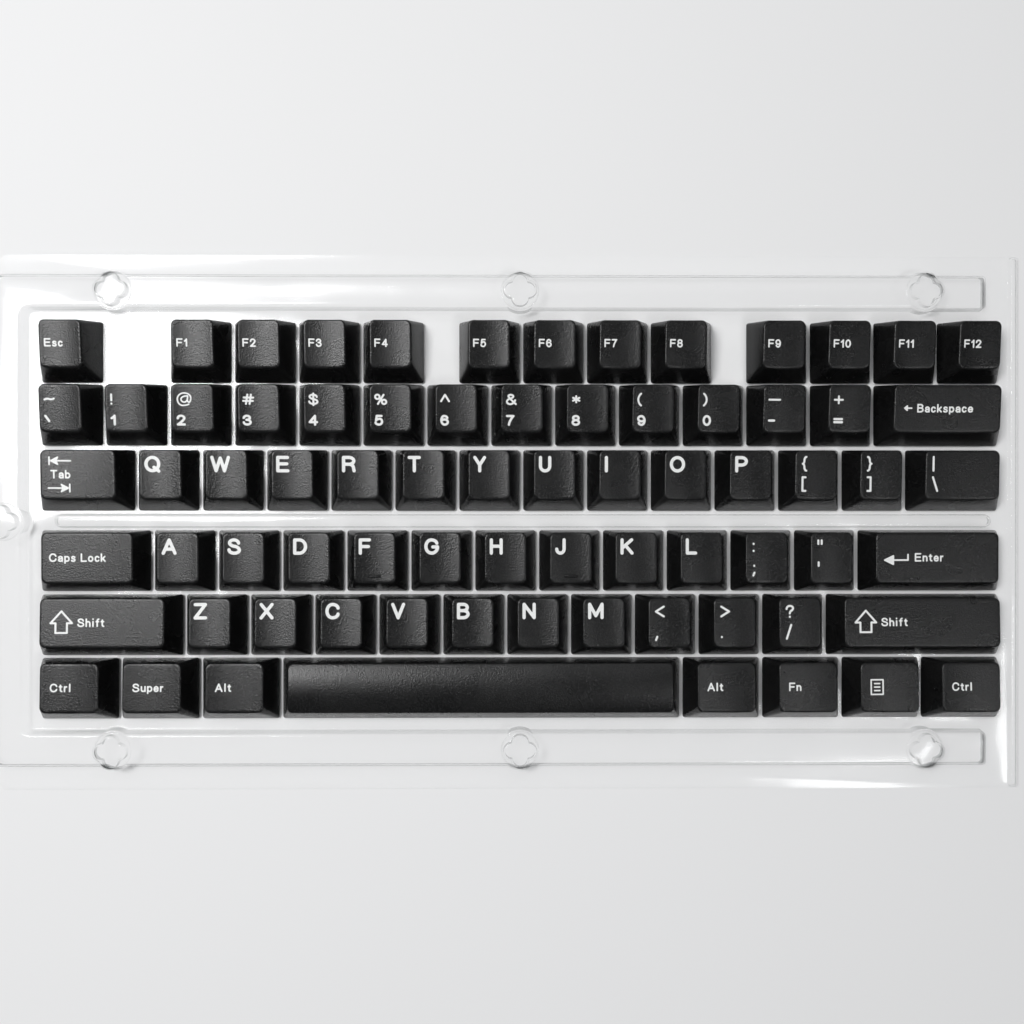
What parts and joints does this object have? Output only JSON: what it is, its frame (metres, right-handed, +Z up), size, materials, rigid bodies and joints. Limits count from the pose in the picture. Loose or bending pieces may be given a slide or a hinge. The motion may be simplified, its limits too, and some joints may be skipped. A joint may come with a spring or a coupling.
{
  "type": "keycap set in tray",
  "caption": "Full set of sculpted dark keycaps for a compact keyboard, lying in rows in a clear thermoformed tray with snap studs around its rim.",
  "frame": {"origin": "on the tray's underside, at the middle of its outline", "axes": "+X to the right along the rows of keys, +Y to the back row, +Z up out of the tray"},
  "size_m": [0.3124, 0.159, 0.0099],
  "materials": {
    "cap_plastic": "fine matte grain, moulded black with white inlaid legends",
    "clear_sheet": "clear glossy thermoformed sheet"
  },
  "bodies": {
    "tray": {"tray": "clear_sheet"},
    "cap_esc": {"cap_esc": "cap_plastic"},
    "caps_f1_f4": {"caps_f1_f4": "cap_plastic"},
    "caps_f5_f8": {"caps_f5_f8": "cap_plastic"},
    "caps_f9_f12": {"caps_f9_f12": "cap_plastic"},
    "cap_grave": {"cap_grave": "cap_plastic"},
    "caps_digits_1_5": {"caps_digits_1_5": "cap_plastic"},
    "caps_digits_6_0": {"caps_digits_6_0": "cap_plastic"},
    "cap_minus": {"cap_minus": "cap_plastic"},
    "cap_equals": {"cap_equals": "cap_plastic"},
    "cap_backspace": {"cap_backspace": "cap_plastic"},
    "cap_tab": {"cap_tab": "cap_plastic"},
    "cap_q": {"cap_q": "cap_plastic"},
    "cap_w": {"cap_w": "cap_plastic"},
    "cap_e": {"cap_e": "cap_plastic"},
    "cap_r": {"cap_r": "cap_plastic"},
    "cap_t": {"cap_t": "cap_plastic"},
    "cap_y": {"cap_y": "cap_plastic"},
    "cap_u": {"cap_u": "cap_plastic"},
    "cap_i": {"cap_i": "cap_plastic"},
    "cap_o": {"cap_o": "cap_plastic"},
    "cap_p": {"cap_p": "cap_plastic"},
    "cap_bracket_left": {"cap_bracket_left": "cap_plastic"},
    "cap_bracket_right": {"cap_bracket_right": "cap_plastic"},
    "cap_backslash": {"cap_backslash": "cap_plastic"},
    "cap_caps_lock": {"cap_caps_lock": "cap_plastic"},
    "cap_a": {"cap_a": "cap_plastic"},
    "cap_s": {"cap_s": "cap_plastic"},
    "cap_d": {"cap_d": "cap_plastic"},
    "cap_f": {"cap_f": "cap_plastic"},
    "cap_g": {"cap_g": "cap_plastic"},
    "cap_h": {"cap_h": "cap_plastic"},
    "cap_j": {"cap_j": "cap_plastic"},
    "cap_k": {"cap_k": "cap_plastic"},
    "cap_l": {"cap_l": "cap_plastic"},
    "cap_semicolon": {"cap_semicolon": "cap_plastic"},
    "cap_quote": {"cap_quote": "cap_plastic"},
    "cap_enter": {"cap_enter": "cap_plastic"},
    "cap_shift_left": {"cap_shift_left": "cap_plastic"},
    "cap_z": {"cap_z": "cap_plastic"},
    "cap_x": {"cap_x": "cap_plastic"},
    "cap_c": {"cap_c": "cap_plastic"},
    "cap_v": {"cap_v": "cap_plastic"},
    "cap_b": {"cap_b": "cap_plastic"},
    "cap_n": {"cap_n": "cap_plastic"},
    "cap_m": {"cap_m": "cap_plastic"},
    "cap_comma": {"cap_comma": "cap_plastic"},
    "cap_period": {"cap_period": "cap_plastic"},
    "cap_slash": {"cap_slash": "cap_plastic"},
    "cap_shift_right": {"cap_shift_right": "cap_plastic"},
    "cap_ctrl_left": {"cap_ctrl_left": "cap_plastic"},
    "cap_super": {"cap_super": "cap_plastic"},
    "cap_alt_left": {"cap_alt_left": "cap_plastic"},
    "cap_space": {"cap_space": "cap_plastic"},
    "cap_alt_right": {"cap_alt_right": "cap_plastic"},
    "cap_fn": {"cap_fn": "cap_plastic"},
    "cap_menu": {"cap_menu": "cap_plastic"},
    "cap_ctrl_right": {"cap_ctrl_right": "cap_plastic"}
  },
  "joints": [
    {"name": "lift_cap_esc", "type": "slide", "parent": "tray", "child": "cap_esc", "axis": [0, 0, 1], "range_m": [0, 0.02]},
    {"name": "lift_caps_f1_f4", "type": "slide", "parent": "tray", "child": "caps_f1_f4", "axis": [0, 0, 1], "range_m": [0, 0.02]},
    {"name": "lift_caps_f5_f8", "type": "slide", "parent": "tray", "child": "caps_f5_f8", "axis": [0, 0, 1], "range_m": [0, 0.02]},
    {"name": "lift_caps_f9_f12", "type": "slide", "parent": "tray", "child": "caps_f9_f12", "axis": [0, 0, 1], "range_m": [0, 0.02]},
    {"name": "lift_cap_grave", "type": "slide", "parent": "tray", "child": "cap_grave", "axis": [0, 0, 1], "range_m": [0, 0.02]},
    {"name": "lift_caps_digits_1_5", "type": "slide", "parent": "tray", "child": "caps_digits_1_5", "axis": [0, 0, 1], "range_m": [0, 0.02]},
    {"name": "lift_caps_digits_6_0", "type": "slide", "parent": "tray", "child": "caps_digits_6_0", "axis": [0, 0, 1], "range_m": [0, 0.02]},
    {"name": "lift_cap_minus", "type": "slide", "parent": "tray", "child": "cap_minus", "axis": [0, 0, 1], "range_m": [0, 0.02]},
    {"name": "lift_cap_equals", "type": "slide", "parent": "tray", "child": "cap_equals", "axis": [0, 0, 1], "range_m": [0, 0.02]},
    {"name": "lift_cap_backspace", "type": "slide", "parent": "tray", "child": "cap_backspace", "axis": [0, 0, 1], "range_m": [0, 0.02]},
    {"name": "lift_cap_tab", "type": "slide", "parent": "tray", "child": "cap_tab", "axis": [0, 0, 1], "range_m": [0, 0.02]},
    {"name": "lift_cap_q", "type": "slide", "parent": "tray", "child": "cap_q", "axis": [0, 0, 1], "range_m": [0, 0.02]},
    {"name": "lift_cap_w", "type": "slide", "parent": "tray", "child": "cap_w", "axis": [0, 0, 1], "range_m": [0, 0.02]},
    {"name": "lift_cap_e", "type": "slide", "parent": "tray", "child": "cap_e", "axis": [0, 0, 1], "range_m": [0, 0.02]},
    {"name": "lift_cap_r", "type": "slide", "parent": "tray", "child": "cap_r", "axis": [0, 0, 1], "range_m": [0, 0.02]},
    {"name": "lift_cap_t", "type": "slide", "parent": "tray", "child": "cap_t", "axis": [0, 0, 1], "range_m": [0, 0.02]},
    {"name": "lift_cap_y", "type": "slide", "parent": "tray", "child": "cap_y", "axis": [0, 0, 1], "range_m": [0, 0.02]},
    {"name": "lift_cap_u", "type": "slide", "parent": "tray", "child": "cap_u", "axis": [0, 0, 1], "range_m": [0, 0.02]},
    {"name": "lift_cap_i", "type": "slide", "parent": "tray", "child": "cap_i", "axis": [0, 0, 1], "range_m": [0, 0.02]},
    {"name": "lift_cap_o", "type": "slide", "parent": "tray", "child": "cap_o", "axis": [0, 0, 1], "range_m": [0, 0.02]},
    {"name": "lift_cap_p", "type": "slide", "parent": "tray", "child": "cap_p", "axis": [0, 0, 1], "range_m": [0, 0.02]},
    {"name": "lift_cap_bracket_left", "type": "slide", "parent": "tray", "child": "cap_bracket_left", "axis": [0, 0, 1], "range_m": [0, 0.02]},
    {"name": "lift_cap_bracket_right", "type": "slide", "parent": "tray", "child": "cap_bracket_right", "axis": [0, 0, 1], "range_m": [0, 0.02]},
    {"name": "lift_cap_backslash", "type": "slide", "parent": "tray", "child": "cap_backslash", "axis": [0, 0, 1], "range_m": [0, 0.02]},
    {"name": "lift_cap_caps_lock", "type": "slide", "parent": "tray", "child": "cap_caps_lock", "axis": [0, 0, 1], "range_m": [0, 0.02]},
    {"name": "lift_cap_a", "type": "slide", "parent": "tray", "child": "cap_a", "axis": [0, 0, 1], "range_m": [0, 0.02]},
    {"name": "lift_cap_s", "type": "slide", "parent": "tray", "child": "cap_s", "axis": [0, 0, 1], "range_m": [0, 0.02]},
    {"name": "lift_cap_d", "type": "slide", "parent": "tray", "child": "cap_d", "axis": [0, 0, 1], "range_m": [0, 0.02]},
    {"name": "lift_cap_f", "type": "slide", "parent": "tray", "child": "cap_f", "axis": [0, 0, 1], "range_m": [0, 0.02]},
    {"name": "lift_cap_g", "type": "slide", "parent": "tray", "child": "cap_g", "axis": [0, 0, 1], "range_m": [0, 0.02]},
    {"name": "lift_cap_h", "type": "slide", "parent": "tray", "child": "cap_h", "axis": [0, 0, 1], "range_m": [0, 0.02]},
    {"name": "lift_cap_j", "type": "slide", "parent": "tray", "child": "cap_j", "axis": [0, 0, 1], "range_m": [0, 0.02]},
    {"name": "lift_cap_k", "type": "slide", "parent": "tray", "child": "cap_k", "axis": [0, 0, 1], "range_m": [0, 0.02]},
    {"name": "lift_cap_l", "type": "slide", "parent": "tray", "child": "cap_l", "axis": [0, 0, 1], "range_m": [0, 0.02]},
    {"name": "lift_cap_semicolon", "type": "slide", "parent": "tray", "child": "cap_semicolon", "axis": [0, 0, 1], "range_m": [0, 0.02]},
    {"name": "lift_cap_quote", "type": "slide", "parent": "tray", "child": "cap_quote", "axis": [0, 0, 1], "range_m": [0, 0.02]},
    {"name": "lift_cap_enter", "type": "slide", "parent": "tray", "child": "cap_enter", "axis": [0, 0, 1], "range_m": [0, 0.02]},
    {"name": "lift_cap_shift_left", "type": "slide", "parent": "tray", "child": "cap_shift_left", "axis": [0, 0, 1], "range_m": [0, 0.02]},
    {"name": "lift_cap_z", "type": "slide", "parent": "tray", "child": "cap_z", "axis": [0, 0, 1], "range_m": [0, 0.02]},
    {"name": "lift_cap_x", "type": "slide", "parent": "tray", "child": "cap_x", "axis": [0, 0, 1], "range_m": [0, 0.02]},
    {"name": "lift_cap_c", "type": "slide", "parent": "tray", "child": "cap_c", "axis": [0, 0, 1], "range_m": [0, 0.02]},
    {"name": "lift_cap_v", "type": "slide", "parent": "tray", "child": "cap_v", "axis": [0, 0, 1], "range_m": [0, 0.02]},
    {"name": "lift_cap_b", "type": "slide", "parent": "tray", "child": "cap_b", "axis": [0, 0, 1], "range_m": [0, 0.02]},
    {"name": "lift_cap_n", "type": "slide", "parent": "tray", "child": "cap_n", "axis": [0, 0, 1], "range_m": [0, 0.02]},
    {"name": "lift_cap_m", "type": "slide", "parent": "tray", "child": "cap_m", "axis": [0, 0, 1], "range_m": [0, 0.02]},
    {"name": "lift_cap_comma", "type": "slide", "parent": "tray", "child": "cap_comma", "axis": [0, 0, 1], "range_m": [0, 0.02]},
    {"name": "lift_cap_period", "type": "slide", "parent": "tray", "child": "cap_period", "axis": [0, 0, 1], "range_m": [0, 0.02]},
    {"name": "lift_cap_slash", "type": "slide", "parent": "tray", "child": "cap_slash", "axis": [0, 0, 1], "range_m": [0, 0.02]},
    {"name": "lift_cap_shift_right", "type": "slide", "parent": "tray", "child": "cap_shift_right", "axis": [0, 0, 1], "range_m": [0, 0.02]},
    {"name": "lift_cap_ctrl_left", "type": "slide", "parent": "tray", "child": "cap_ctrl_left", "axis": [0, 0, 1], "range_m": [0, 0.02]},
    {"name": "lift_cap_super", "type": "slide", "parent": "tray", "child": "cap_super", "axis": [0, 0, 1], "range_m": [0, 0.02]},
    {"name": "lift_cap_alt_left", "type": "slide", "parent": "tray", "child": "cap_alt_left", "axis": [0, 0, 1], "range_m": [0, 0.02]},
    {"name": "lift_cap_space", "type": "slide", "parent": "tray", "child": "cap_space", "axis": [0, 0, 1], "range_m": [0, 0.02]},
    {"name": "lift_cap_alt_right", "type": "slide", "parent": "tray", "child": "cap_alt_right", "axis": [0, 0, 1], "range_m": [0, 0.02]},
    {"name": "lift_cap_fn", "type": "slide", "parent": "tray", "child": "cap_fn", "axis": [0, 0, 1], "range_m": [0, 0.02]},
    {"name": "lift_cap_menu", "type": "slide", "parent": "tray", "child": "cap_menu", "axis": [0, 0, 1], "range_m": [0, 0.02]},
    {"name": "lift_cap_ctrl_right", "type": "slide", "parent": "tray", "child": "cap_ctrl_right", "axis": [0, 0, 1], "range_m": [0, 0.02]}
  ]
}
